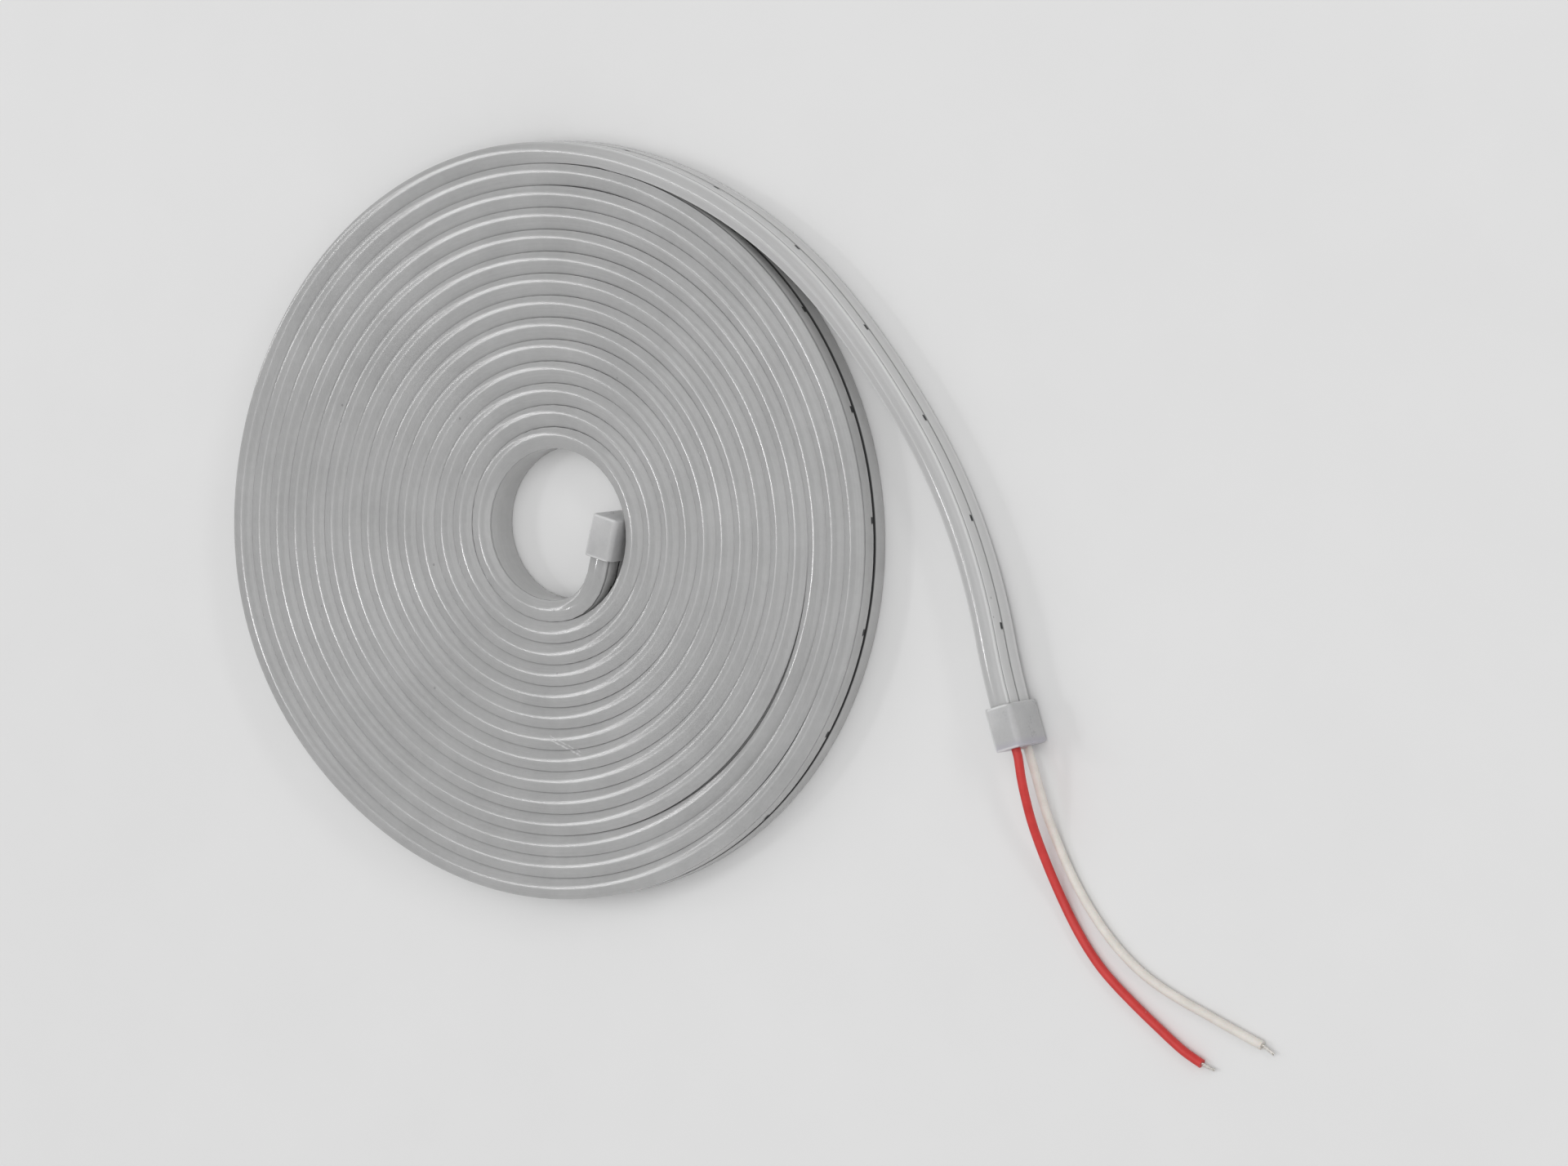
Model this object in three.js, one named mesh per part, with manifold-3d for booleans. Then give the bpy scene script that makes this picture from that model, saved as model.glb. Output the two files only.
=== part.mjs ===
// LED neon flex: a silicone light strip wound up as a flat roll. It lies on its base with the
// light face up. One end hangs free in the eye of the roll, the other leaves the rim as a tail.
// Each end has a moulded cap, and two leads come out of the cap on the tail.
// Millimetres, +Z up. The origin is the middle of the resting plane under roll and tail.
import * as THREE from 'three';
import { mergeVertices } from 'three/addons/utils/BufferGeometryUtils.js';
import Module from 'manifold-3d';

// Section of the strip: opaque walls with a clear domed lens along the top
const flexWidth = 4.8;
const flexHeight = 10;
const baseChamfer = 0.5;
const lensDepth = 1.3;
const crownInset = 0.9;
const crownDrop = 0.25;
const grooveRise = 4.6;
const grooveWidth = 1.1;
const grooveDepth = 0.6;

// Winding: plan angles in degrees, counted anticlockwise from +X about the roll's centre
const eyeRadius = 16.3;
const turnGap = 0.22;
const windStartAngle = 281;
const windEndAngle = 77;
const wholeTurns = 13;
const stationsPerTurn = 30;

// How far the turns stray from round: the eye is off centre and the rim bulges on one side
const eyeShift = 1.7;
const eyeShiftAngle = -35;
const rimShift = 0.4;
const rimShiftAngle = -40;
const bulgeHeight = 2.6;
const bulgeAngle = 197;
const bulgeSpread = 30;

// Free ends, as bends walked away from the roll; a positive turn is to the left. The tail peels
// off the rim, runs nearly straight, curls back and flattens out. The inner end curls tighter
// than the eye by its ease, and runs straight into its cap.
const tailPeelLength = 68;
const tailRunLength = 33;
const tailCurlLength = 51;
const tailEndLength = 15;
const tailBends = [
  { length: tailPeelLength, turn: -35 },
  { length: tailRunLength, turn: -9 },
  { length: tailCurlLength, turn: -21 },
  { length: tailEndLength, turn: 5 },
];
const tailLift = 60;
const innerCurlTurn = 66;
const innerCurlEase = 3.3;
const innerCurlRadius = eyeRadius - innerCurlEase;
const innerRunLength = 3.2;
const innerBends = [
  { length: innerCurlRadius * THREE.MathUtils.degToRad(innerCurlTurn), turn: innerCurlTurn },
  { length: innerRunLength, turn: 0 },
];
const innerLift = 18;
const tailStep = 9;
const innerStep = 4;

// End caps
const capLength = 10;
const capWall = 0.9;
const capEndWall = 1.5;
const capClearance = 0.3;
const capCornerRadius = 1;
const capEndRadius = 0.7;

// Leads, one above the other in the cap's end wall
const leadRadius = 1.05;
const leadSpacing = 5.2;
const leadGrip = 0.15;
const leadGap = 0.3;
const leadStraight = 2;
const leadStep = 5;
const leadSides = 8;
const tipRadius = 0.45;
const tipLength = 3.6;

// Routes of the leads from where they leave the cap, about the roll's centre
const redRoute = [
  [126.3, -52.3, 8.3],
  [127.6, -61.6, 6.2],
  [129.6, -70.2, 3.7],
  [132.8, -79.3, 1.6],
  [137.4, -87.6, 1.1],
  [143.0, -94.7, 1.1],
  [150.0, -101.0, 1.1],
  [157.6, -107.0, 1.1],
  [164.0, -111.7, 1.1],
  [168.6, -114.2, 1.1],
];
const whiteRoute = [
  [127.3, -51.9, 3.6],
  [129.1, -59.3, 2.6],
  [132.0, -67.4, 1.6],
  [136.2, -75.8, 1.1],
  [141.6, -83.6, 1.1],
  [147.7, -90.3, 1.1],
  [154.4, -95.6, 1.1],
  [162.0, -99.7, 1.1],
  [169.6, -103.0, 1.1],
  [177.1, -106.2, 1.1],
  [183.9, -109.0, 1.1],
];

const wasm = await Module();
wasm.setup();

function finish(color, roughness, metalness = 0) {
  return new THREE.MeshStandardMaterial({ color, roughness, metalness });
}

const milkySilicone = () => finish(0xadadac, 0.3);
const capSilicone = () => finish(0xb4b4b4, 0.45);
const redRubber = () => finish(0xc83836, 0.45);
const whiteRubber = () => finish(0xdedad2, 0.45);
const tinnedCopper = () => finish(0xd7d3cb, 0.35, 1);

// Outline of the strip as [across, up], where across points away from the roll's centre.
// A grown outline is the room that a cap leaves around the strip, without the groove.
function flexOutline(grow) {
  const side = flexWidth / 2 + grow;
  const low = -grow;
  const top = flexHeight + grow;
  const shoulder = flexHeight - lensDepth;
  const outline = [
    [-side + baseChamfer, low],
    [side - baseChamfer, low],
    [side, low + baseChamfer],
  ];
  if (grow === 0) {
    outline.push([side, grooveRise - grooveWidth / 2]);
    outline.push([side - grooveDepth, grooveRise]);
    outline.push([side, grooveRise + grooveWidth / 2]);
  }
  outline.push([side, shoulder]);
  outline.push([side - crownInset, top - crownDrop]);
  outline.push([0, top]);
  outline.push([-side + crownInset, top - crownDrop]);
  outline.push([-side, shoulder]);
  outline.push([-side, low + baseChamfer]);
  return outline;
}

// Distance of the strip's centreline from the roll's centre, wound degrees after the start
const windTotal = wholeTurns * 360 + (windStartAngle - windEndAngle);
const radians = THREE.MathUtils.degToRad;

function coilRadius(wound) {
  const angle = windStartAngle - wound;
  const outwards = wound / windTotal;
  const fromBulge = THREE.MathUtils.euclideanModulo(angle - bulgeAngle + 180, 360) - 180;
  const eyeStray = eyeShift * Math.cos(radians(angle - eyeShiftAngle));
  const rimStray = rimShift * Math.cos(radians(angle - rimShiftAngle))
    + bulgeHeight * Math.exp(-((fromBulge / bulgeSpread) ** 2));
  const turns = (flexWidth + turnGap) * wound / 360;
  return eyeRadius + flexWidth / 2 + turns + THREE.MathUtils.lerp(eyeStray, rimStray, outwards);
}

function coilPoint(wound) {
  const angle = radians(windStartAngle - wound);
  const radius = coilRadius(wound);
  return new THREE.Vector2(radius * Math.cos(angle), radius * Math.sin(angle));
}

// Direction of travel at a wound angle, as a plan heading in radians
function coilHeading(wound, backwards) {
  const step = 0.25;
  const along = coilPoint(wound + step).sub(coilPoint(wound - step));
  return backwards ? along.negate().angle() : along.angle();
}

// Walks bends from a start point and returns the points passed, each with its heading
function walkBends(start, heading, bends, stepLength) {
  const walked = [{ point: start.clone(), heading }];
  const point = start.clone();
  for (const bend of bends) {
    const steps = Math.max(1, Math.round(bend.length / stepLength));
    const turn = radians(bend.turn) / steps;
    for (let i = 0; i < steps; i += 1) {
      const middle = heading + turn / 2;
      point.x += (bend.length / steps) * Math.cos(middle);
      point.y += (bend.length / steps) * Math.sin(middle);
      heading += turn;
      walked.push({ point: point.clone(), heading });
    }
  }
  return walked;
}

// The strip runs straight into each cap and stops short of its end wall
const stripInCap = capLength - capEndWall - capClearance;
const capFloor = capWall + capClearance;

function freeEnd(wound, backwards, bends, stepLength, liftLength) {
  const toMouth = walkBends(coilPoint(wound), coilHeading(wound, backwards), bends, stepLength);
  const mouth = toMouth[toMouth.length - 1];
  const straight = [{ length: stripInCap, turn: 0 }];
  const inCap = walkBends(mouth.point, mouth.heading, straight, stepLength);
  const side = backwards ? -Math.PI / 2 : Math.PI / 2;
  const reach = bends.reduce((sum, bend) => sum + bend.length, 0);
  const stations = [];
  let gone = 0;
  let last = toMouth[0].point;
  for (const place of [...toMouth.slice(1), ...inCap.slice(1)]) {
    gone += place.point.distanceTo(last);
    last = place.point;
    const outwards = new THREE.Vector2(Math.cos(place.heading + side), Math.sin(place.heading + side));
    const lift = capFloor * THREE.MathUtils.smoothstep(gone, reach - liftLength, reach);
    stations.push({ point: place.point, outwards, lift });
  }
  return { mouth, stations };
}

const innerEnd = freeEnd(0, true, innerBends, innerStep, innerLift);
const tail = freeEnd(windTotal, false, tailBends, tailStep, tailLift);

// Facets of neighbouring turns start at the same plan angles, so that they nest
function woundStations() {
  const step = 360 / stationsPerTurn;
  const wound = [];
  for (let angle = 0; angle < windTotal - step / 20; angle += step) {
    wound.push(angle);
  }
  wound.push(windTotal);
  return wound.map((angle) => {
    const point = coilPoint(angle);
    return { point, outwards: point.clone().normalize(), lift: 0 };
  });
}

// Skins a closed outline through a row of upright stations, with flat ends
function loft(stations, outline) {
  const positions = [];
  for (const { point, outwards, lift } of stations) {
    for (const [across, up] of outline) {
      positions.push(point.x + across * outwards.x, point.y + across * outwards.y, lift + up);
    }
  }
  const count = outline.length;
  const last = (stations.length - 1) * count;
  const triangles = [];
  for (let ring = 0; ring < last; ring += count) {
    for (let i = 0; i < count; i += 1) {
      const j = (i + 1) % count;
      triangles.push(ring + i, ring + count + j, ring + count + i);
      triangles.push(ring + i, ring + j, ring + count + j);
    }
  }
  const flat = outline.map(([across, up]) => new THREE.Vector2(across, up));
  for (const [a, b, c] of THREE.ShapeUtils.triangulateShape(flat, [])) {
    triangles.push(a, c, b);
    triangles.push(last + a, last + b, last + c);
  }
  const geometry = new THREE.BufferGeometry();
  geometry.setAttribute('position', new THREE.Float32BufferAttribute(positions, 3));
  geometry.setIndex(triangles);
  geometry.computeVertexNormals();
  return geometry;
}

function makeFlex() {
  const stations = [...innerEnd.stations.toReversed(), ...woundStations(), ...tail.stations];
  const flex = new THREE.Mesh(loft(stations, flexOutline(0)), milkySilicone());
  flex.name = 'neon_flex';
  return flex;
}

function toManifold(geometry) {
  const bare = geometry.index ? geometry.toNonIndexed() : geometry.clone();
  bare.deleteAttribute('normal');
  bare.deleteAttribute('uv');
  const welded = mergeVertices(bare);
  return new wasm.Manifold(new wasm.Mesh({
    numProp: 3,
    vertProperties: new Float32Array(welded.attributes.position.array),
    triVerts: new Uint32Array(welded.index.array),
  }));
}

function toGeometry(solid) {
  const mesh = solid.getMesh();
  const geometry = new THREE.BufferGeometry();
  const positions = new Float32Array(mesh.vertProperties);
  geometry.setAttribute('position', new THREE.BufferAttribute(positions, 3));
  geometry.setIndex(new THREE.BufferAttribute(new Uint32Array(mesh.triVerts), 1));
  geometry.computeVertexNormals();
  return geometry;
}

function roundedRectangle(width, height, radius) {
  const x = width / 2 - radius;
  const shape = new THREE.Shape();
  shape.absarc(x, radius, radius, -Math.PI / 2, 0);
  shape.absarc(x, height - radius, radius, 0, Math.PI / 2);
  shape.absarc(-x, height - radius, radius, Math.PI / 2, Math.PI);
  shape.absarc(-x, radius, radius, Math.PI, Math.PI * 1.5);
  return shape;
}

// Moulded sleeve, closed at one end. Its mouth is at y = 0 and it reaches back along -Y.
const capWidth = flexWidth + 2 * (capClearance + capWall);
const capHeight = flexHeight + 2 * (capClearance + capWall);
const leadHeights = [capHeight / 2 + leadSpacing / 2, capHeight / 2 - leadSpacing / 2];

function makeCap(name, holeHeights) {
  const body = new THREE.ExtrudeGeometry(
    roundedRectangle(capWidth - 2 * capEndRadius, capHeight - 2 * capEndRadius, capCornerRadius),
    {
      depth: capLength - 2 * capEndRadius,
      bevelSize: capEndRadius,
      bevelThickness: capEndRadius,
      bevelSegments: 2,
      curveSegments: 3,
    },
  ).translate(0, capEndRadius, capEndRadius);
  const roomShape = new THREE.Shape(flexOutline(capClearance).map(([x, y]) => new THREE.Vector2(x, y)));
  const mouthOvershoot = 1;
  const room = new THREE.ExtrudeGeometry(roomShape, {
    depth: capLength - capEndWall + mouthOvershoot,
    bevelEnabled: false,
  }).translate(0, capFloor, -mouthOvershoot);
  let cap = toManifold(body.rotateX(Math.PI / 2)).subtract(toManifold(room.rotateX(Math.PI / 2)));
  const holeRadius = leadRadius - leadGrip;
  const holeSides = 16;
  for (const height of holeHeights) {
    const hole = new THREE.CylinderGeometry(holeRadius, holeRadius, 3 * capEndWall, holeSides)
      .translate(0, -capLength, height);
    cap = cap.subtract(toManifold(hole));
  }
  const mesh = new THREE.Mesh(toGeometry(cap), capSilicone());
  mesh.name = name;
  return mesh;
}

function placeCap(cap, mouth) {
  cap.position.set(mouth.point.x, mouth.point.y, 0);
  cap.rotation.z = mouth.heading + Math.PI / 2;
  return cap;
}

// A lead leaves the cap square to its end wall and then follows its route to the bare tip
function makeLead(name, height, route, material) {
  const { point, heading } = tail.mouth;
  const ahead = (distance) => new THREE.Vector3(
    point.x + distance * Math.cos(heading),
    point.y + distance * Math.sin(heading),
    height,
  );
  const curve = new THREE.CatmullRomCurve3([
    ahead(capLength + leadGap),
    ahead(capLength + leadGap + leadStraight),
    ...route.map((place) => new THREE.Vector3(...place)),
  ], false, 'centripetal');
  const section = new THREE.Shape();
  section.absarc(0, 0, leadRadius, 0, Math.PI * 2);
  const geometry = new THREE.ExtrudeGeometry(section, {
    extrudePath: curve,
    steps: Math.round(curve.getLength() / leadStep),
    curveSegments: leadSides,
  });
  const lead = new THREE.Mesh(geometry, material);
  lead.name = name;

  const end = curve.getPoint(1);
  const along = curve.getTangent(1);
  const bare = new THREE.CylinderGeometry(tipRadius, tipRadius, tipLength, leadSides);
  const tip = new THREE.Mesh(bare, tinnedCopper());
  tip.name = `${name}_tip`;
  tip.position.copy(end).addScaledVector(along, leadGap + tipLength / 2);
  tip.quaternion.setFromUnitVectors(new THREE.Vector3(0, 1, 0), along);
  return [lead, tip];
}

const roll = new THREE.Group();
roll.add(makeFlex());
roll.add(placeCap(makeCap('inner_end_cap', []), innerEnd.mouth));
roll.add(placeCap(makeCap('outer_end_cap', leadHeights), tail.mouth));

// The origin goes under the middle of the strip and its caps, before the leads are added
const extent = new THREE.Box3().setFromObject(roll, true);
const middle = extent.getCenter(new THREE.Vector3());
roll.add(...makeLead('red_lead', leadHeights[0], redRoute, redRubber()));
roll.add(...makeLead('white_lead', leadHeights[1], whiteRoute, whiteRubber()));
roll.position.set(-middle.x, -middle.y, 0);

const group = new THREE.Group();
group.add(roll);

export default group;
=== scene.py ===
# %% [markdown]
# # A reel of neon flex
# This lesson dresses a reel of silicone light strip. The strip is wound flat on a table with its
# light face up. One end curls into the eye, the other peels off the rim as a tail, each end wears
# a moulded cap, and a red and a white lead come out of the cap on the tail. The solids of the part
# are loaded first. They fix where everything is, and each new piece is laid over its own solid.
# Only a dab of sealant is too small to have one.

# %% Load the solids
import bpy
import math
import numpy as np
from mathutils import Matrix, Vector


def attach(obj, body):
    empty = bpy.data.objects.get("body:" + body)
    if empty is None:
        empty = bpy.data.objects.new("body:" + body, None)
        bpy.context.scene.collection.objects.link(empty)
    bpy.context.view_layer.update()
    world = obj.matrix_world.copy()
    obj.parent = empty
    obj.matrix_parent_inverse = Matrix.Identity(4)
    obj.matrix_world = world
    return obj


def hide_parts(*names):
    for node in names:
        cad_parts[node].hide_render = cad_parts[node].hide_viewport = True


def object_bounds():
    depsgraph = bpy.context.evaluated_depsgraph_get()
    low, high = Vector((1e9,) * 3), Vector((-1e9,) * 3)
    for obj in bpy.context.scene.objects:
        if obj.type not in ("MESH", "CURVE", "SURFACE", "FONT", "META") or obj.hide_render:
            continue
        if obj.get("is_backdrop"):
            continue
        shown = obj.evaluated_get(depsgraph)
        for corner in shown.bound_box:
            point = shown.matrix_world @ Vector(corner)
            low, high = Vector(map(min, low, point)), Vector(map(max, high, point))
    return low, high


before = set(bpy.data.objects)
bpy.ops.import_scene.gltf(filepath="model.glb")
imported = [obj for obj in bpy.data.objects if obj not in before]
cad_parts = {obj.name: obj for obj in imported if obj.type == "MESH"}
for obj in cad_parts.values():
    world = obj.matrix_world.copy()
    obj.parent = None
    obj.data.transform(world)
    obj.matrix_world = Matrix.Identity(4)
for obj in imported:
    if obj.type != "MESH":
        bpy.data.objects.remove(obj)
bpy.context.view_layer.update()
solid_low, solid_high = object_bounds()
print("Solids span", [round(1000 * (b - a), 1) for a, b in zip(solid_low, solid_high)], "mm")

MM = 0.001
ROLL_CENTRE = Vector((-19.5429 * MM, -0.9846 * MM, 0.0))

# %% [markdown]
# ## Camera
# The picture looks down at the light face from the side that the tail is on, through a long lens,
# so the round roll shows as an oval and the outside of the rim is seen on the right. The three
# directions below are the camera's right, up and back. With its place and its lens, they are all
# that a camera needs.

# %% Place the camera
VIEW_RIGHT = Vector((0.84697, -0.00218, -0.53164))
VIEW_UP = Vector((-0.04158, 0.99666, -0.07032))
VIEW_BACK = Vector((0.53002, 0.08166, 0.84404))
CAMERA_PLACE = Vector((1.02884, 0.14003, 1.57651))


def add_object(name, data):
    made = bpy.data.objects.new(name, data)
    bpy.context.scene.collection.objects.link(made)
    return made


camera_data = bpy.data.cameras.new("long_lens")
camera_data.sensor_width = 36
camera_data.lens = 187.5
camera_data.clip_start, camera_data.clip_end = 0.1, 20
camera = add_object("camera", camera_data)
camera.matrix_world = Matrix((
    (VIEW_RIGHT.x, VIEW_UP.x, VIEW_BACK.x, CAMERA_PLACE.x),
    (VIEW_RIGHT.y, VIEW_UP.y, VIEW_BACK.y, CAMERA_PLACE.y),
    (VIEW_RIGHT.z, VIEW_UP.z, VIEW_BACK.z, CAMERA_PLACE.z),
    (0, 0, 0, 1),
))
bpy.context.scene.camera = camera
print("Camera stands", round((camera.location - ROLL_CENTRE).length, 2), "m away")

# %% [markdown]
# ## Routes
# The strip and the leads are long things of one section, so each starts as a line. The lines
# repeat the sizes of the solids: the roll is a spiral that gains one strip's width in each turn,
# with its eye a little off centre and a soft bulge on the rim, and the free ends are walked bend
# by bend. Points every three millimetres keep the tight inner turns as smooth as the wide ones.

# %% Sizes of the strip and its winding
STRIP_WIDTH, STRIP_HEIGHT = 4.8, 10.0
EYE_RADIUS, TURN_GAP = 16.3, 0.22
START_ANGLE, END_ANGLE, WHOLE_TURNS = 281, 77, 13
EYE_SHIFT, EYE_SHIFT_ANGLE = 1.7, -35
RIM_SHIFT, RIM_SHIFT_ANGLE = 0.4, -40
BULGE_HEIGHT, BULGE_ANGLE, BULGE_SPREAD = 2.6, 197, 30
WOUND = WHOLE_TURNS * 360 + START_ANGLE - END_ANGLE
TAIL_BENDS = ((68, -35), (33, -9), (51, -21), (15, 5))
INNER_CURL_EASE, INNER_CURL_TURN = 3.3, 66
INNER_BENDS = (((EYE_RADIUS - INNER_CURL_EASE) * math.radians(INNER_CURL_TURN), INNER_CURL_TURN), (3.2, 0))
TAIL_RISE, INNER_RISE = 60, 18
STATION_STEP = 3
CAP_LENGTH, CAP_WALL, CAP_END_WALL, CAP_CLEARANCE = 10, 0.9, 1.5, 0.3
CAP_FLOOR = CAP_WALL + CAP_CLEARANCE
IN_CAP = CAP_LENGTH - CAP_END_WALL - CAP_CLEARANCE


def wrapped(angle):
    return (angle + 180) % 360 - 180


def coil_radius(wound):
    angle = START_ANGLE - wound
    eye = EYE_SHIFT * math.cos(math.radians(angle - EYE_SHIFT_ANGLE))
    bulge = BULGE_HEIGHT * math.exp(-(wrapped(angle - BULGE_ANGLE) / BULGE_SPREAD) ** 2)
    rim = RIM_SHIFT * math.cos(math.radians(angle - RIM_SHIFT_ANGLE)) + bulge
    stray = eye + (rim - eye) * wound / WOUND
    return EYE_RADIUS + STRIP_WIDTH / 2 + (STRIP_WIDTH + TURN_GAP) * wound / 360 + stray


def coil_point(wound):
    angle = math.radians(START_ANGLE - wound)
    radius = coil_radius(wound)
    return Vector((radius * math.cos(angle), radius * math.sin(angle)))


def coil_heading(wound, backwards=False):
    along = coil_point(wound + 0.25) - coil_point(wound - 0.25)
    if backwards:
        along = -along
    return math.atan2(along.y, along.x)


def walk(point, heading, bends, step):
    places = [(point.copy(), heading)]
    for length, turn in bends:
        count = max(1, round(length / step))
        for _ in range(count):
            middle = heading + math.radians(turn) / count / 2
            point = point + length / count * Vector((math.cos(middle), math.sin(middle)))
            heading += math.radians(turn) / count
            places.append((point.copy(), heading))
    return places


print("Rim radius is", round(coil_radius(WOUND), 1), "mm after", round(WOUND / 360, 2), "turns")

# %% Lay the strip's line out
def smooth_rise(t):
    t = min(max(t, 0.0), 1.0)
    return t * t * (3 - 2 * t)


def free_end(wound, backwards, bends, rise_length):
    to_cap = walk(coil_point(wound), coil_heading(wound, backwards), bends, 1.0)
    mouth, heading = to_cap[-1]
    inside = walk(mouth, heading, ((IN_CAP, 0),), 1.0)
    reach = sum(length for length, _ in bends)
    gone, last, line = 0.0, to_cap[0][0], []
    for point, _ in to_cap[1:] + inside[1:]:
        gone += (point - last).length
        last = point
        lift = CAP_FLOOR * smooth_rise((gone - reach + rise_length) / rise_length)
        line.append((point.x, point.y, lift))
    return line, mouth, heading


inner_line, inner_mouth, inner_heading = free_end(0, True, INNER_BENDS, INNER_RISE)
tail_line, tail_mouth, tail_heading = free_end(WOUND, False, TAIL_BENDS, TAIL_RISE)
wound_line = [(*coil_point(w), 0.0) for w in np.arange(0, WOUND, 1.0)]
rough_line = np.array(inner_line[::-1] + wound_line + [(*coil_point(WOUND), 0.0)] + tail_line)

steps_along = np.linalg.norm(np.diff(rough_line, axis=0), axis=1)
run = np.concatenate([[0], np.cumsum(steps_along)])
STATIONS = int(run[-1] / STATION_STEP) + 1
station_run = np.linspace(0, run[-1], STATIONS)
strip_line = np.stack([np.interp(station_run, run, rough_line[:, i]) for i in range(3)], axis=1)
wound_from = len(inner_line)
station_wound = np.interp(station_run, run[wound_from:wound_from + len(wound_line)],
                          np.arange(0, WOUND, 1.0), left=-1, right=WOUND + 1)
print("Strip is", round(run[-1]), "mm long and has", STATIONS, "stations")

# %% [markdown]
# ## Finishes
# All but the bare strands is silicone or rubber: soft gloss over a cloudy body that lets a little
# light in. The effects are small node groups, so a change to one is seen wherever it is used. One
# gives the cloudy unevenness of moulded rubber, one the fine lines that a die leaves along anything
# drawn through it, and one the odd speck of dust that a sticky surface picks up.

# %% Helpers for node trees
def node(tree, kind, **values):
    made = tree.nodes.new(kind)
    for key, value in values.items():
        if hasattr(made, key):
            setattr(made, key, value)
        else:
            made.inputs[key.replace("_", " ")].default_value = value
    return made


def math_node(tree, operation, a, b=None, clamp=False):
    made = tree.nodes.new("ShaderNodeMath")
    made.operation = operation
    made.use_clamp = clamp
    for socket, value in zip(made.inputs, (a, b)):
        if isinstance(value, (int, float)):
            socket.default_value = value
        elif value is not None:
            tree.links.new(value, socket)
    return made.outputs[0]


def new_group(name, inputs, outputs):
    group = bpy.data.node_groups.new(name, "ShaderNodeTree")
    for label, kind, default in inputs:
        socket = group.interface.new_socket(label, in_out="INPUT", socket_type=kind)
        if default is not None:
            socket.default_value = default
    for label, kind in outputs:
        group.interface.new_socket(label, in_out="OUTPUT", socket_type=kind)
    return group, group.nodes.new("NodeGroupInput"), group.nodes.new("NodeGroupOutput")


# %% Cloudy rubber group
def make_cloudy():
    group, get, give = new_group(
        "cloudy_rubber",
        [("Vector", "NodeSocketVector", None), ("Scale", "NodeSocketFloat", 90.0)],
        [("Cloud", "NodeSocketFloat")],
    )
    wide = node(group, "ShaderNodeTexNoise", Detail=3.0, Roughness=0.55)
    group.links.new(get.outputs["Vector"], wide.inputs["Vector"])
    group.links.new(get.outputs["Scale"], wide.inputs["Scale"])
    fine = node(group, "ShaderNodeTexNoise", Detail=2.0, Roughness=0.6)
    group.links.new(get.outputs["Vector"], fine.inputs["Vector"])
    group.links.new(math_node(group, "MULTIPLY", get.outputs["Scale"], 9.0), fine.inputs["Scale"])
    both = math_node(group, "ADD", math_node(group, "MULTIPLY", wide.outputs["Fac"], 0.7),
                     math_node(group, "MULTIPLY", fine.outputs["Fac"], 0.3))
    group.links.new(both, give.inputs["Cloud"])
    return group


cloudy_rubber = make_cloudy()
print(cloudy_rubber.name, "has", len(cloudy_rubber.nodes), "nodes")


# %% Die lines group
def make_die_lines():
    group, get, give = new_group(
        "die_lines",
        [("Along", "NodeSocketFloat", 0.0), ("Across", "NodeSocketFloat", 0.0),
         ("Fineness", "NodeSocketFloat", 2500.0)],
        [("Lines", "NodeSocketFloat")],
    )
    stretched = node(group, "ShaderNodeCombineXYZ")
    group.links.new(math_node(group, "MULTIPLY", get.outputs["Along"], 9.0), stretched.inputs["X"])
    group.links.new(math_node(group, "MULTIPLY", get.outputs["Across"], get.outputs["Fineness"]),
                    stretched.inputs["Y"])
    lines = node(group, "ShaderNodeTexNoise", Scale=1.0, Detail=3.0, Roughness=0.65)
    group.links.new(stretched.outputs["Vector"], lines.inputs["Vector"])
    group.links.new(lines.outputs["Fac"], give.inputs["Lines"])
    return group


die_lines = make_die_lines()
print(die_lines.name, "has", len(die_lines.nodes), "nodes")


# %% Dust speck group
def make_dust():
    group, get, give = new_group(
        "dust_specks",
        [("Vector", "NodeSocketVector", None), ("Scale", "NodeSocketFloat", 160.0),
         ("Size", "NodeSocketFloat", 0.06)],
        [("Speck", "NodeSocketFloat")],
    )
    cells = node(group, "ShaderNodeTexVoronoi")
    group.links.new(get.outputs["Vector"], cells.inputs["Vector"])
    group.links.new(get.outputs["Scale"], cells.inputs["Scale"])
    near = math_node(group, "LESS_THAN", cells.outputs["Distance"], get.outputs["Size"])
    chosen = node(group, "ShaderNodeSeparateXYZ")
    group.links.new(cells.outputs["Color"], chosen.inputs["Vector"])
    some = math_node(group, "GREATER_THAN", chosen.outputs["X"], 0.72)
    group.links.new(math_node(group, "MULTIPLY", near, some), give.inputs["Speck"])
    return group


dust_specks = make_dust()
print(dust_specks.name, "has", len(dust_specks.nodes), "nodes")


# %% Helpers for materials
def place_group(tree, group, **inputs):
    made = tree.nodes.new("ShaderNodeGroup")
    made.node_tree = group
    for key, value in inputs.items():
        if isinstance(value, (int, float)):
            made.inputs[key].default_value = value
        else:
            tree.links.new(value, made.inputs[key])
    return made.outputs[0]


def object_place(tree):
    return node(tree, "ShaderNodeTexCoord").outputs["Object"]


def cloud_over(tree, place, scale):
    return place_group(tree, cloudy_rubber, Vector=place, Scale=scale)


def add_bump(tree, shader, height, strength, distance):
    bump = node(tree, "ShaderNodeBump", Strength=strength, Distance=distance)
    tree.links.new(height, bump.inputs["Height"])
    tree.links.new(bump.outputs["Normal"], shader.inputs["Normal"])


def colour_ramp(tree, factor, stops):
    ramp = tree.nodes.new("ShaderNodeValToRGB")
    while len(ramp.color_ramp.elements) < len(stops):
        ramp.color_ramp.elements.new(0.5)
    for element, (position, colour) in zip(ramp.color_ramp.elements, stops):
        element.position = position
        element.color = (*colour, 1)
    tree.links.new(factor, ramp.inputs["Fac"])
    return ramp.outputs["Color"]


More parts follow.
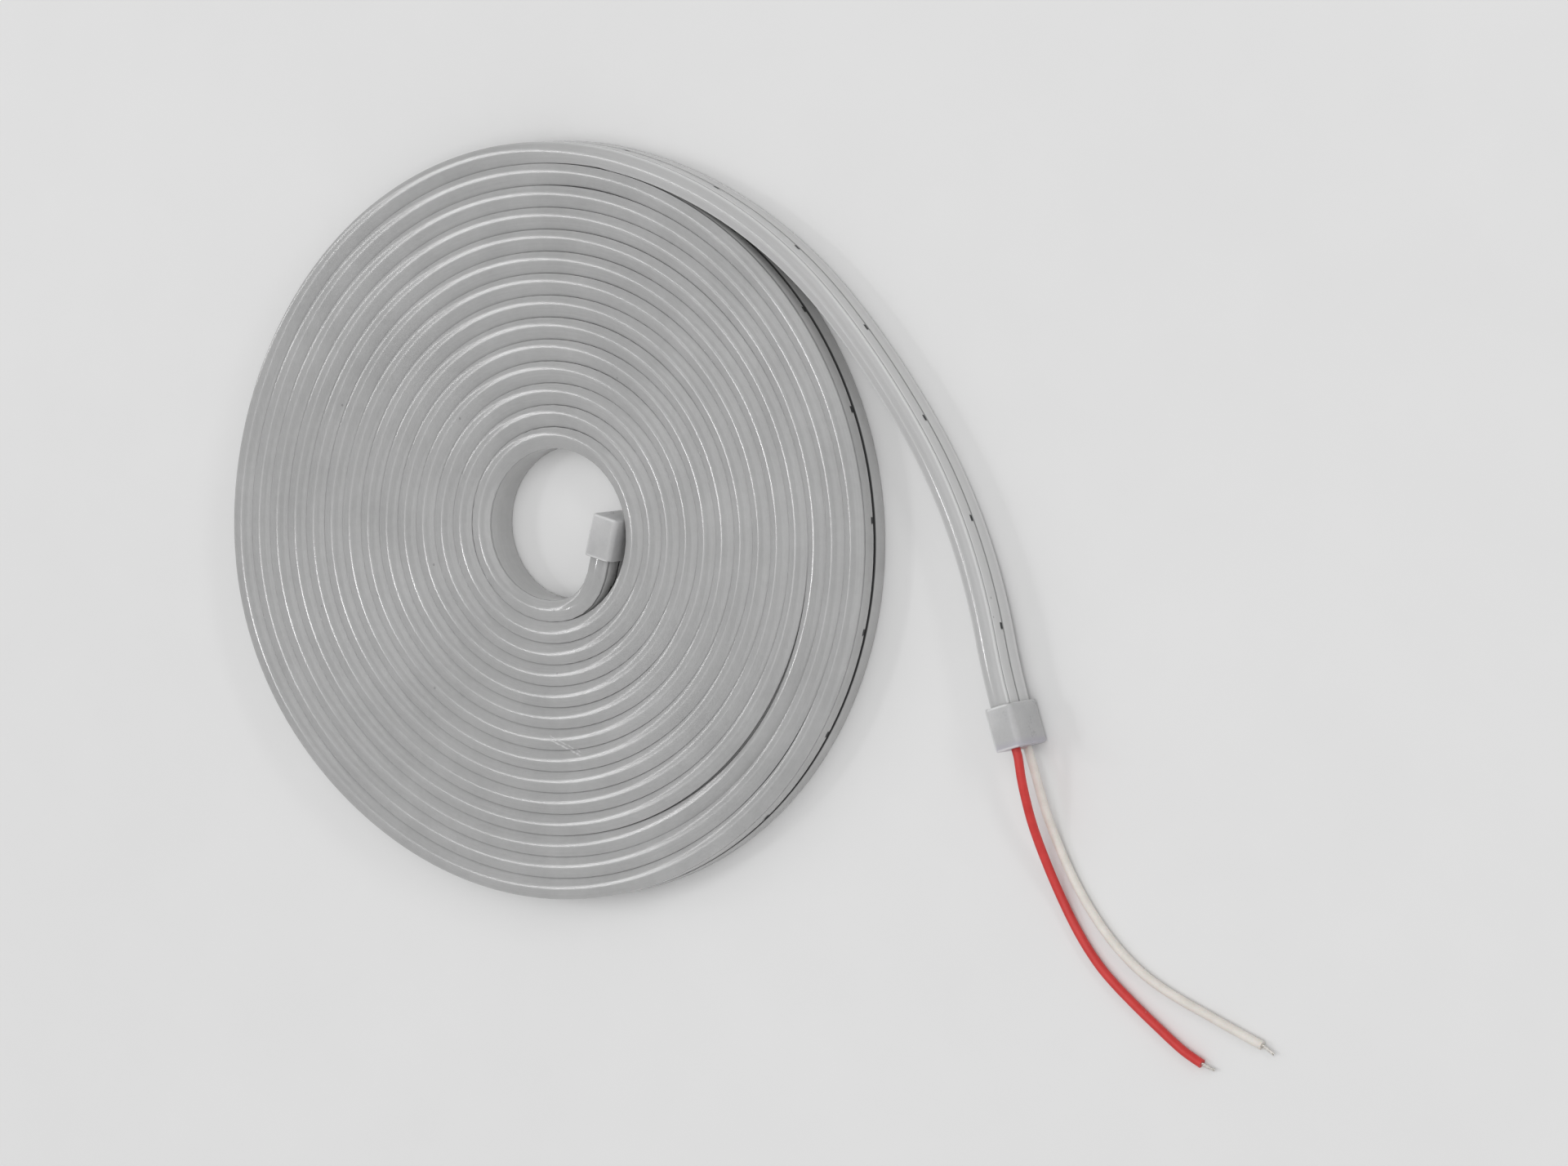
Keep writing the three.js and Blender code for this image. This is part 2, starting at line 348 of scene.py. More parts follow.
def mix_colour(tree, factor, a, b, blend="MIX"):
    mix = tree.nodes.new("ShaderNodeMix")
    mix.data_type = "RGBA"
    mix.blend_type = blend
    for socket, value in ((mix.inputs[0], factor), (mix.inputs[6], a), (mix.inputs[7], b)):
        if isinstance(value, (int, float)):
            socket.default_value = value
        elif isinstance(value, tuple):
            socket.default_value = (*value, 1)
        else:
            tree.links.new(value, socket)
    return mix.outputs[2]


def new_material(name, roughness, **shader_values):
    material = bpy.data.materials.new(name)
    material.use_nodes = True
    tree = material.node_tree
    shader = tree.nodes["Principled BSDF"]
    shader.inputs["Roughness"].default_value = roughness
    for key, value in shader_values.items():
        shader.inputs[key.replace("_", " ")].default_value = value
    return material, tree, shader


# %% [markdown]
# ### Milky silicone of the strip
# The strip is drawn through a die in one go: opaque walls, and a clearer lens along the top. Its
# pattern has to follow the strip round every turn, so it reads a map that unrolls the strip: U is
# the way along it and V the way around its section, both in metres. V tells the lens from the
# walls, finds the groove and the fine seam under the lens, and U sets the cutting marks 25 mm
# apart. Inside the groove little light comes back, so it is painted nearly black as shade. The free
# tail has light all round it, so it is painted paler than the wound turns as painted light, with a
# painted highlight along its edges. One short scuff slants over the light face, low in the picture.

# %% Milky silicone
CUT_UNIT, CUT_LENGTH, CUT_HEIGHT = 0.025, 0.0016, 0.0009
TAIL_FROM, TAIL_FADE = 4.50, 0.06
EDGE_BESIDE_SEAM, EDGE_SOFT = 0.0006, 0.00035
BASE_EDGE_FROM, BASE_EDGE_TO = 0.0022, 0.0036
SCUFF_PLACE, SCUFF_ANGLE, SCUFF_LENGTH = (-0.0150, -0.0522, 0.0101), -22, 0.009


def ramp_up(tree, value, low, high):
    rise = node(tree, "ShaderNodeMapRange", interpolation_type="SMOOTHSTEP")
    rise.inputs["From Min"].default_value = low
    rise.inputs["From Max"].default_value = high
    tree.links.new(value, rise.inputs["Value"])
    return rise.outputs[0]


def band(tree, value, low, high, soft):
    rise = ramp_up(tree, value, low - soft, low + soft)
    fall = ramp_up(tree, value, high - soft, high + soft)
    return math_node(tree, "SUBTRACT", rise, fall, clamp=True)


def line_at(tree, value, place, half, soft):
    return band(tree, value, place - half, place + half, soft)


def scaled(tree, value, factor, offset=0.0):
    return math_node(tree, "ADD", math_node(tree, "MULTIPLY", value, factor), offset)


def scuff_mask(tree, place, lines):
    turned = node(tree, "ShaderNodeMapping", vector_type="TEXTURE", Location=SCUFF_PLACE,
                  Rotation=(0, 0, math.radians(SCUFF_ANGLE)))
    tree.links.new(place, turned.inputs["Vector"])
    axes = node(tree, "ShaderNodeSeparateXYZ")
    tree.links.new(turned.outputs["Vector"], axes.inputs["Vector"])
    waver = scaled(tree, lines, 0.0012, -0.0006)
    sideways = math_node(tree, "ADD", axes.outputs["Y"], waver)
    within = band(tree, axes.outputs["X"], -SCUFF_LENGTH / 2, SCUFF_LENGTH / 2, 0.0008)
    scratches = math_node(tree, "ADD", line_at(tree, sideways, 0.0, 0.00016, 0.0001),
                          line_at(tree, sideways, 0.0008, 0.00008, 0.0001), clamp=True)
    return math_node(tree, "MULTIPLY", within, scratches)


def make_milky_silicone(marks):
    material, tree, shader = new_material("milky_silicone", 0.15, Subsurface_Weight=0.6,
                                          Subsurface_Scale=0.0016, IOR=1.42)
    shader.inputs["Subsurface Radius"].default_value = (1.0, 1.0, 0.97)
    unrolled = node(tree, "ShaderNodeUVMap", uv_map="unrolled")
    parts = node(tree, "ShaderNodeSeparateXYZ")
    tree.links.new(unrolled.outputs["UV"], parts.inputs["Vector"])
    along, around = parts.outputs["X"], parts.outputs["Y"]
    place = object_place(tree)
    cloud = cloud_over(tree, place, 70.0)
    lines = place_group(tree, die_lines, Along=along, Across=around, Fineness=2600.0)
    speck = place_group(tree, dust_specks, Vector=place, Scale=120.0, Size=0.04)

    wall = colour_ramp(tree, cloud, [(0.3, (0.44, 0.44, 0.438)), (0.7, (0.51, 0.51, 0.508))])
    lens = colour_ramp(tree, cloud, [(0.3, (0.37, 0.37, 0.37)), (0.7, (0.43, 0.43, 0.43))])
    # Painted light: the free tail's wall and lens are painted paler, for the light that reaches it all
    # round.
    free = ramp_up(tree, along, TAIL_FROM, TAIL_FROM + TAIL_FADE)
    wall = mix_colour(tree, scaled(tree, free, 0.9), wall, (0.62, 0.62, 0.618))
    lens = mix_colour(tree, scaled(tree, free, 0.9), lens, (0.49, 0.49, 0.49))
    on_lens = band(tree, around, marks["seam_out"], marks["seam_in"], 0.0002)
    colour = mix_colour(tree, on_lens, wall, lens)
    # Painted highlight: on the free tail the lens's rounded edges and the base's outer edge are painted
    # pale.
    below, above = marks["seam_out"] - EDGE_BESIDE_SEAM, marks["seam_in"] + EDGE_BESIDE_SEAM
    edge_out = band(tree, around, below, marks["crown_out"], EDGE_SOFT)
    edge_in = band(tree, around, marks["crown_in"], above, EDGE_SOFT)
    base_edge = band(tree, around, BASE_EDGE_FROM, BASE_EDGE_TO, 0.0004)
    edges = math_node(tree, "ADD", edge_out, edge_in, clamp=True)
    edges = math_node(tree, "ADD", edges, base_edge, clamp=True)
    painted_tail_edge_highlight = math_node(tree, "MULTIPLY", edges, scaled(tree, free, 0.5))
    colour = mix_colour(tree, painted_tail_edge_highlight, colour, (0.76, 0.76, 0.76))
    grey = node(tree, "ShaderNodeCombineColor")
    streak = scaled(tree, lines, 0.16, 0.92)
    for socket in grey.inputs[:3]:
        tree.links.new(streak, socket)
    colour = mix_colour(tree, 1.0, colour, grey.outputs[0], "MULTIPLY")
    seam = math_node(tree, "MULTIPLY", line_at(tree, around, marks["seam_out"], 0.00012, 0.00008),
                     scaled(tree, free, 0.3, 0.45))
    colour = mix_colour(tree, seam, colour, (0.09, 0.09, 0.1))
    # Painted shade: the groove is painted nearly black, less dark on the free tail.
    groove = band(tree, around, marks["groove_low"], marks["groove_high"], 0.00008)
    shade = math_node(tree, "MULTIPLY", groove, scaled(tree, free, -0.5, 0.95))
    colour = mix_colour(tree, shade, colour, (0.012, 0.012, 0.013))

    from_first = math_node(tree, "ADD", along, CUT_UNIT - marks["first_cut"])
    unit = math_node(tree, "MODULO", from_first, CUT_UNIT)
    cut_place = math_node(tree, "ADD", unit, scaled(tree, cloud, 0.0012, -0.0006))
    groove_top = marks["groove_high"]
    beside_groove = band(tree, around, groove_top - 0.0001, groove_top + CUT_HEIGHT, 0.0001)
    cut = math_node(tree, "MULTIPLY", band(tree, cut_place, 0.0, CUT_LENGTH, 0.0002), beside_groove)
    colour = mix_colour(tree, cut, colour, (0.01, 0.01, 0.012))
    colour = mix_colour(tree, scaled(tree, speck, 0.45), colour, (0.16, 0.16, 0.16))
    scuff = scuff_mask(tree, place, lines)
    colour = mix_colour(tree, scaled(tree, scuff, 0.4), colour, (0.8, 0.8, 0.8))
    tree.links.new(colour, shader.inputs["Base Color"])

    dull = scaled(tree, math_node(tree, "ADD", math_node(tree, "ADD", groove, cut), scuff), 0.4)
    rough = math_node(tree, "ADD", scaled(tree, lines, 0.04, 0.1), dull)
    tree.links.new(rough, shader.inputs["Roughness"])
    relief = math_node(tree, "ADD", lines, scaled(tree, cloud, 0.8))
    add_bump(tree, shader, relief, strength=0.07, distance=0.00006)
    return material


print("Cutting marks come every", 1000 * CUT_UNIT, "mm and are", 1000 * CUT_LENGTH, "mm long")

# %% [markdown]
# ## The strip's section
# The section is drawn once, as a closed outline in millimetres, and then swept along the line.
# Across points away from the roll's centre and up towards the light face. The top is a low dome
# with rounded edges, and the long highlights run along it. The groove is in the outer wall only,
# between two softly broken edges. It is drawn as narrow as it is where the strip runs free, and
# opened later where the strip is bent. The marks tell the finish where all this is on its map, so
# they are in metres.

# %% Draw the section
SPREAD_EACH_SIDE = 0.05
HALF = STRIP_WIDTH / 2 + SPREAD_EACH_SIDE
CROWN_RADIUS = 6.2
EDGE_RADIUS, EDGE_START = 1.0, 52
GROOVE_MIDDLE, GROOVE_WIDTH, GROOVE_DEPTH = 4.6, 0.42, 0.5
LIP = 0.12
SEAM_HEIGHT, SEAM_DEPTH = 8.75, 0.09
INNER_MIDDLE, BASE_ROUNDING = 5.0, 0.5
CROWN_FROM_SEAM, GROOVE_EDGE, FIRST_CUT = 0.0011, 0.00008, 0.0168
WALL_BAND = 0.3


def arc(centre, radius, start, end, count):
    angles = np.radians(np.linspace(start, end, count))
    return [(centre[0] + radius * math.cos(a), centre[1] + radius * math.sin(a)) for a in angles]


def section_outline():
    base = BASE_ROUNDING
    low, high = GROOVE_MIDDLE - GROOVE_WIDTH / 2, GROOVE_MIDDLE + GROOVE_WIDTH / 2
    outline = [(0, 0)]
    outline += arc((HALF - base, base), base, -90, 0, 4)
    outline += [(HALF, low - LIP), (HALF - LIP / 3, low - LIP / 3), (HALF - LIP, low),
                (HALF - GROOVE_DEPTH, low + LIP), (HALF - GROOVE_DEPTH, high - LIP),
                (HALF - LIP, high), (HALF - LIP / 3, high + LIP / 3), (HALF, high + LIP)]
    outline += [(HALF, SEAM_HEIGHT - LIP), (HALF - SEAM_DEPTH, SEAM_HEIGHT),
                (HALF, SEAM_HEIGHT + LIP)]
    dome_centre = (0, STRIP_HEIGHT - CROWN_RADIUS)
    reach = HALF - EDGE_RADIUS * math.cos(math.radians(EDGE_START))
    lean = math.degrees(math.asin(reach / (CROWN_RADIUS - EDGE_RADIUS)))
    edge_y = dome_centre[1] + (CROWN_RADIUS - EDGE_RADIUS) * math.cos(math.radians(lean))
    outline += arc((reach, edge_y), EDGE_RADIUS, EDGE_START, 90 - lean, 5)
    outline += arc(dome_centre, CROWN_RADIUS, 90 - lean, 90 + lean, 11)[1:-1]
    outline += arc((-reach, edge_y), EDGE_RADIUS, 90 + lean, 180 - EDGE_START, 5)
    outline += [(-HALF, SEAM_HEIGHT + LIP), (-HALF + SEAM_DEPTH, SEAM_HEIGHT),
                (-HALF, SEAM_HEIGHT - LIP), (-HALF, INNER_MIDDLE)]
    outline += arc((-HALF + base, base), base, 180, 270, 4)
    return outline


section = section_outline()
ring = np.array(section + section[:1])
around = np.concatenate([[0], np.cumsum(np.linalg.norm(np.diff(ring, axis=0), axis=1))])
print("The section has", len(section), "points and is", round(around[-1], 1), "mm around")


def around_at(height, side):
    points = [i for i, (x, _) in enumerate(section) if x * side > 0 and abs(x) > HALF - WALL_BAND]
    best = min(points, key=lambda i: abs(section[i][1] - height))
    return (around[best] + (height - section[best][1]) * side) * MM


SECTION_MARKS = {
    "groove_low": around_at(GROOVE_MIDDLE - GROOVE_WIDTH / 2 - LIP, 1) + GROOVE_EDGE,
    "groove_high": around_at(GROOVE_MIDDLE + GROOVE_WIDTH / 2 + LIP, 1) - GROOVE_EDGE,
    "seam_out": around_at(SEAM_HEIGHT, 1),
    "seam_in": around_at(SEAM_HEIGHT, -1),
    "crown_out": around_at(SEAM_HEIGHT, 1) + CROWN_FROM_SEAM,
    "crown_in": around_at(SEAM_HEIGHT, -1) - CROWN_FROM_SEAM,
    "first_cut": FIRST_CUT,
}
print("Marks on the map, in mm:", {k: round(v * 1000, 2) for k, v in SECTION_MARKS.items()})


# %% [markdown]
# ## Sweeping the strip
# A curve with a bevel outline does the sweep, and Z-up twist keeps the section upright all the
# way. The free ends are lifted a little where they enter their caps.

# %% Sweep the section along the line
def select_only(piece):
    bpy.ops.object.select_all(action="DESELECT")
    piece.select_set(True)
    bpy.context.view_layer.objects.active = piece


def sweep_strip():
    outline_data = bpy.data.curves.new("section", "CURVE")
    outline_data.dimensions = "2D"
    spline = outline_data.splines.new("POLY")
    spline.points.add(len(section) - 1)
    spline.use_cyclic_u = True
    for point, (x, y) in zip(spline.points, section):
        point.co = (-x * MM, y * MM, 0, 1)
    outline = add_object("section", outline_data)

    line = bpy.data.curves.new("strip_line", "CURVE")
    line.dimensions = "3D"
    line.twist_mode = "Z_UP"
    line.bevel_mode = "OBJECT"
    line.bevel_object = outline
    line.use_fill_caps = True
    path = line.splines.new("POLY")
    path.points.add(STATIONS - 1)
    for point, place in zip(path.points, strip_line):
        point.co = (*(Vector(place) * MM + ROLL_CENTRE), 1)
    strip = add_object("flex_strip", line)
    select_only(strip)
    bpy.ops.object.convert(target="MESH")
    bpy.data.objects.remove(outline)
    return strip


strip = sweep_strip()
print("Swept", len(strip.data.vertices), "points for", STATIONS, "stations")

# %% [markdown]
# The sweep adds a separate lid at each end, so the first and last points of its list belong to
# the lids. The rest come station by station, which makes the unrolled map easy to write: how far
# along the line, and how far around the section. The lids are welded on once the turns are fitted.

# %% Unroll the strip on a map
WELD_DISTANCE = 0.00001


def unroll(piece, count, lengths):
    data = piece.data
    lid = (len(data.vertices) - len(lengths) * count) // 2
    index = np.empty(len(data.loops), dtype=np.int64)
    data.loops.foreach_get("vertex_index", index)
    order = np.clip(index - lid, 0, len(lengths) * count - 1)
    u = lengths[order // count] * MM
    v = around[order % count] * MM
    ends = np.empty(len(data.polygons), dtype=np.int64)
    data.polygons.foreach_get("loop_start", ends)
    owner = np.searchsorted(ends, np.arange(len(data.loops)), side="right") - 1
    top = np.zeros(len(data.polygons))
    np.maximum.at(top, owner, order % count)
    closing = (top[owner] == count - 1) & (order % count == 0)
    v[closing] = around[-1] * MM
    layer = data.uv_layers[0]
    layer.name = "unrolled"
    layer.data.foreach_set("uv", np.stack([u, v], axis=1).ravel())


def weld(piece):
    select_only(piece)
    bpy.ops.object.mode_set(mode="EDIT")
    bpy.ops.mesh.select_all(action="SELECT")
    bpy.ops.mesh.remove_doubles(threshold=WELD_DISTANCE)
    bpy.ops.object.mode_set(mode="OBJECT")


unroll(strip, len(section), station_run)
print("The map is", round(station_run[-1] * MM, 2), "m long and", round(around[-1], 1), "mm wide")

# %% [markdown]
# ## Faults of a hand-wound roll
# No hand-wound roll is perfect. The soft turns are pressed together until they fill the room that
# the winding gives them, they ride a little high or low, and their crowns tip a little inwards or
# outwards. One turn near the rim has sunk and tips outwards, and a few leave a dark slit to the
# turn inside them. Where the strip is bent, its groove gapes. All this is moved in the mesh,
# station by station, across and up the section. The free ends stay as they are drawn.

# %% How much each station is off
# A fault's turn counts from the rim inwards. Its angle and spread are degrees in plan, and its slit
# and sink are millimetres. A wave has a rate for each degree wound, and a start.
FAULTS = (
    {"turn": 2.67, "angle": 318, "spread": 27, "slit": 0.38, "sink": 1.1, "tip": 0.14},
    {"turn": 0.68, "angle": 321, "spread": 11, "slit": 0.24, "sink": 0.0, "tip": 0.0},
    {"turn": 0.0, "angle": 75, "spread": 8, "slit": 0.2, "sink": 0.0, "tip": 0.0},
    {"turn": 1.0, "angle": 80, "spread": 7, "slit": 0.18, "sink": 0.0, "tip": 0.0},
)
GROOVE_GAPE, GROOVE_DEEPEN = 2.1, 2.0
EASE_LENGTH = 35
TURNS_REACH = 0.45
ROOM_KEPT = 0.012
LIFT_SIZE, LIFT_WAVES = 0.05, ((0.031, 0.0), (0.0173, 1.2), (0.0091, 2.1))
TIP_ALL_ROUND, TIP_COSINE, TIP_SINE, TIP_TWICE = 0.037, 0.041, 0.0106, 0.0535
TIP_STRAY, TIP_WAVES = 0.006, ((0.0137, 0.5), (0.0057, 2.6))
TIP_RISE = 0.4


def near(wound, fault):
    turn = (WOUND - wound) / 360 - fault["turn"]
    plan = START_ANGLE - wound
    off_angle = wrapped(plan - fault["angle"]) / fault["spread"]
    return math.exp(-(turn / TURNS_REACH) ** 2) * math.exp(-off_angle ** 2)


def fault_at(wound, kind):
    return sum(fault[kind] * near(wound, fault) for fault in FAULTS)


def room_at(wound):
    within = min(max(wound, 360), WOUND)
    return (coil_radius(within) - coil_radius(within - 360)) / 2 - ROOM_KEPT


def waves(wound, rates):
    return sum(math.sin(wound * rate + phase) for rate, phase in rates)


def turn_lift(wound):
    return LIFT_SIZE * (waves(wound, LIFT_WAVES) + len(LIFT_WAVES)) / 2


def turn_tip(wound):
    plan = math.radians(START_ANGLE - wound)
    sides = TIP_COSINE * math.cos(plan) - TIP_SINE * math.sin(plan) + TIP_TWICE * math.cos(2 * plan)
    stray = TIP_STRAY * waves(wound, TIP_WAVES)
    return sides - TIP_ALL_ROUND + stray + fault_at(wound, "tip")


wound_start, wound_stop = run[wound_from], run[wound_from + len(wound_line)]
held = np.array([
    smooth_rise((s - wound_start) / EASE_LENGTH) * smooth_rise((wound_stop - s) / EASE_LENGTH)
    for s in station_run
])
inside = np.array([min(max(w, 0), WOUND) for w in station_wound])
half_at = HALF + held * (np.array([room_at(w) for w in inside]) - HALF)
lift_at = held * np.array([turn_lift(w) for w in inside])
tip_at = held * np.array([turn_tip(w) for w in inside])
slit_at = np.array([fault_at(w, "slit") if 0 <= w <= WOUND else 0 for w in station_wound])
sink_at = held * np.array([fault_at(w, "sink") for w in inside])
gape_at = 1 + held * (GROOVE_GAPE - 1)
deep_at = 1 + held * (GROOVE_DEEPEN - 1)
print("Half widths run from", round(half_at.min(), 2), "to", round(half_at.max(), 2), "mm")


# %% Move the mesh station by station
def fit_turns(piece):
    count = len(section)
    coords = np.empty(len(piece.data.vertices) * 3)
    piece.data.vertices.foreach_get("co", coords)
    coords = coords.reshape(-1, 3)
    lid = (len(coords) - STATIONS * count) // 2
    rings = coords[lid:lid + STATIONS * count].reshape(STATIONS, count, 3)
    across, up = np.array(section).T
    outer_top = section.index((HALF, SEAM_HEIGHT + LIP))
    inner_top = section.index((-HALF, SEAM_HEIGHT + LIP))
    inner_middle = section.index((-HALF, INNER_MIDDLE))
    outwards = rings[:, outer_top] - rings[:, inner_top]
    upwards = rings[:, inner_top] - rings[:, inner_middle]
    outwards /= np.linalg.norm(outwards, axis=1)[:, None]
    upwards /= np.linalg.norm(upwards, axis=1)[:, None]

    in_groove = (across > 0) & (np.abs(up - GROOVE_MIDDLE) < GROOVE_WIDTH / 2 + LIP + 0.01)
    new_across = across * half_at[:, None] / HALF
    dip = (HALF - across) * deep_at[:, None]
    new_across = np.where(in_groove, half_at[:, None] - dip, new_across)
    new_across += np.where(across < 0, slit_at[:, None] * -across / HALF, 0)
    new_up = np.where(in_groove, GROOVE_MIDDLE + (up - GROOVE_MIDDLE) * gape_at[:, None], up)
    new_up = new_up * (1 - sink_at[:, None] / STRIP_HEIGHT)
    above_seam = np.clip((up - SEAM_HEIGHT - LIP) / TIP_RISE, 0, 1)
    new_up += lift_at[:, None] - tip_at[:, None] * across * above_seam
    rings += (new_across - across)[..., None] * outwards[:, None, :] * MM
    rings += (new_up - up)[..., None] * upwards[:, None, :] * MM
    piece.data.vertices.foreach_set("co", coords.ravel())
    piece.data.update()
    lowest, highest = 1000 * rings[..., 2].min(), 1000 * rings[..., 2].max()
    print("Lowest point", round(lowest, 3), "highest", round(highest, 2), "mm")


fit_turns(strip)

# %% Weld the lids and give the strip its finish
weld(strip)
bpy.ops.object.shade_smooth_by_angle(angle=math.radians(45))
strip.data.materials.clear()
strip.data.materials.append(make_milky_silicone(SECTION_MARKS))
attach(strip, "root")
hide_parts("neon_flex")
print("Strip has", len(strip.data.polygons), "faces")

# %% [markdown]
# ## Leads
# The two leads are limp, single-core, rubber-covered leads. Each leaves the cap's end wall square
# on, sinks to the table and runs out in one easy curve. A curve with a round bevel is the natural
# tool. Its points repeat the solids' route, filled in by the same centripetal spline.

# %% Route of each lead
LEAD_RADIUS, LEAD_SPACING, LEAD_STRAIGHT = 1.05, 5.2, 2
CAP_HEIGHT = STRIP_HEIGHT + 2 * CAP_FLOOR
CAP_WIDTH = STRIP_WIDTH + 2 * CAP_FLOOR
RED_ROUTE = (
    (126.3, -52.3, 8.3), (127.6, -61.6, 6.2), (129.6, -70.2, 3.7), (132.8, -79.3, 1.6),
    (137.4, -87.6, 1.1), (143.0, -94.7, 1.1), (150.0, -101.0, 1.1), (157.6, -107.0, 1.1),
    (164.0, -111.7, 1.1), (168.6, -114.2, 1.1),
)
WHITE_ROUTE = (
    (127.3, -51.9, 3.6), (129.1, -59.3, 2.6), (132.0, -67.4, 1.6), (136.2, -75.8, 1.1),
    (141.6, -83.6, 1.1), (147.7, -90.3, 1.1), (154.4, -95.6, 1.1), (162.0, -99.7, 1.1),
    (169.6, -103.0, 1.1), (177.1, -106.2, 1.1), (183.9, -109.0, 1.1),
)
print("Red route has", len(RED_ROUTE), "marks, white route", len(WHITE_ROUTE))


def ahead_of_cap(distance, height):
    x = tail_mouth.x + distance * math.cos(tail_heading)
    y = tail_mouth.y + distance * math.sin(tail_heading)
    return Vector((x, y, height))


def spline_between(a, b, c, d, t):
    knots = [0.0]
    for first, second in ((a, b), (b, c), (c, d)):
        knots.append(knots[-1] + math.sqrt((second - first).length))
    at = knots[1] + (knots[2] - knots[1]) * t

    def blend(p, q, low, high):
        return p * (high - at) / (high - low) + q * (at - low) / (high - low)

    ab = blend(a, b, knots[0], knots[1])
    bc = blend(b, c, knots[1], knots[2])
    cd = blend(c, d, knots[2], knots[3])
    abc = blend(ab, bc, knots[0], knots[2])
    bcd = blend(bc, cd, knots[1], knots[3])
    return blend(abc, bcd, knots[1], knots[2])


def lead_line(height, route):
    marks = [ahead_of_cap(CAP_LENGTH, height), ahead_of_cap(CAP_LENGTH + LEAD_STRAIGHT, height)]
    marks += [Vector(place) for place in route]
    marks = [2 * marks[0] - marks[1]] + marks + [2 * marks[-1] - marks[-2]]
    line = [marks[1]]
    for a, b, c, d in zip(marks, marks[1:], marks[2:], marks[3:]):
        line += [spline_between(a, b, c, d, t) for t in (0.5, 1.0)]
    return [point * MM + ROLL_CENTRE for point in line]


# %% Lead finish
def make_lead_rubber(name, dark, light, roughness):
    material, tree, shader = new_material(name, roughness, Subsurface_Weight=0.08,
                                          Subsurface_Scale=0.0008, IOR=1.45)
    place = object_place(tree)
    cloud = cloud_over(tree, place, 260.0)
    speck = place_group(tree, dust_specks, Vector=place, Scale=420.0, Size=0.08)
    colour = colour_ramp(tree, cloud, [(0.25, dark), (0.75, light)])
    colour = mix_colour(tree, math_node(tree, "MULTIPLY", speck, 0.25), colour, (0.5, 0.47, 0.45))
    tree.links.new(colour, shader.inputs["Base Color"])
    tree.links.new(scaled(tree, cloud, 0.16, roughness - 0.08), shader.inputs["Roughness"])
    add_bump(tree, shader, cloud, strength=0.35, distance=0.00005)
    return material


red_rubber = make_lead_rubber("red_insulation", (0.52, 0.028, 0.026), (0.66, 0.05, 0.045), 0.42)
white_rubber = make_lead_rubber("white_insulation", (0.66, 0.62, 0.57), (0.8, 0.765, 0.72), 0.42)
print("Lead finishes:", red_rubber.name, "and", white_rubber.name)


# %% Make the leads
def make_lead(name, height, route, material):
    points = lead_line(height, route)
    data = bpy.data.curves.new(name, "CURVE")
    data.dimensions = "3D"
    data.bevel_depth = LEAD_RADIUS * MM
    data.bevel_resolution = 6
    data.resolution_u = 8
    data.use_fill_caps = True
    spline = data.splines.new("BEZIER")
    spline.bezier_points.add(len(points) - 1)
    for knot, point in zip(spline.bezier_points, points):
        knot.co = point
        knot.handle_left_type = knot.handle_right_type = "AUTO"
    data.materials.append(material)
    lead = add_object(name, data)
    bpy.context.view_layer.update()
    length = sum((b - a).length for a, b in zip(points, points[1:]))
    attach(lead, "root")
    print(name, "has", len(points), "points and is about", round(1000 * length, 1), "mm long")
    return lead, points, length


upper, lower = CAP_HEIGHT / 2 + LEAD_SPACING / 2, CAP_HEIGHT / 2 - LEAD_SPACING / 2
red, red_points, red_length = make_lead("red_lead_cover", upper, RED_ROUTE, red_rubber)
white, white_points, white_length = make_lead("white_lead_cover", lower, WHITE_ROUTE, white_rubber)
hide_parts("red_lead")
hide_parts("white_lead")

# %% [markdown]
# ### Bare ends
# At its far end each lead is stripped for a few millimetres, and the tinned strands stick out in
# a slight twist, a little bent. Each strand is a round bevel along a helix, turned by a sixth from
# the one before it, and the six are joined to one bundle.

# %% Tinned strands
def make_tinned_copper():
    material, tree, shader = new_material("tinned_copper", 0.3, Metallic=1.0)
    cloud = cloud_over(tree, object_place(tree), 1500.0)
    colour = colour_ramp(tree, cloud, [(0.3, (0.58, 0.55, 0.51)), (0.7, (0.78, 0.76, 0.73))])
    tree.links.new(colour, shader.inputs["Base Color"])
    tree.links.new(scaled(tree, cloud, 0.25, 0.22), shader.inputs["Roughness"])
    return material


tinned_copper = make_tinned_copper()
STRANDS, STRAND_STEPS, STRAND_TWIST = 6, 13, 3.4
STRAND_RADIUS, TIP_RADIUS, TIP_LENGTH, TIP_SUNK = 0.17, 0.26, 3.8, 0.4


def make_strands(name, points, bend):
    end = points[-1]
    along = (points[-1] - points[-2]).normalized()
    side = along.cross(Vector((0, 0, 1))).normalized()
    up = side.cross(along)
    strands = []
    bpy.ops.object.select_all(action="DESELECT")
    for strand in range(STRANDS):
        data = bpy.data.curves.new(name, "CURVE")
        data.dimensions = "3D"
        data.bevel_depth = STRAND_RADIUS * MM
        data.bevel_resolution = 2
        data.use_fill_caps = True
        spline = data.splines.new("POLY")
        spline.points.add(STRAND_STEPS)
        reach = TIP_LENGTH * (1 - 0.05 * (strand % 3))
        for i, point in enumerate(spline.points):
            t = i / STRAND_STEPS
            turn = strand * 2 * math.pi / STRANDS + t * STRAND_TWIST
            spread = TIP_RADIUS * (1 - 0.25 * t)
            sway = bend * t * t * reach
            place = along * (t * reach - TIP_SUNK) + side * (math.cos(turn) * spread + sway)
            place += up * math.sin(turn) * spread
            point.co = (*(end + place * MM), 1)
        piece = add_object(name, data)
        piece.select_set(True)
        strands.append(piece)
    bpy.context.view_layer.objects.active = strands[0]
    bpy.ops.object.convert(target="MESH")
    bpy.ops.object.join()
    bundle = bpy.context.view_layer.objects.active
    weld(bundle)
    bpy.ops.object.shade_smooth_by_angle(angle=math.radians(50))
    bundle.data.materials.clear()
    bundle.data.materials.append(tinned_copper)
    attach(bundle, "root")
    print(name, "has", len(bundle.data.polygons), "faces")
    return bundle


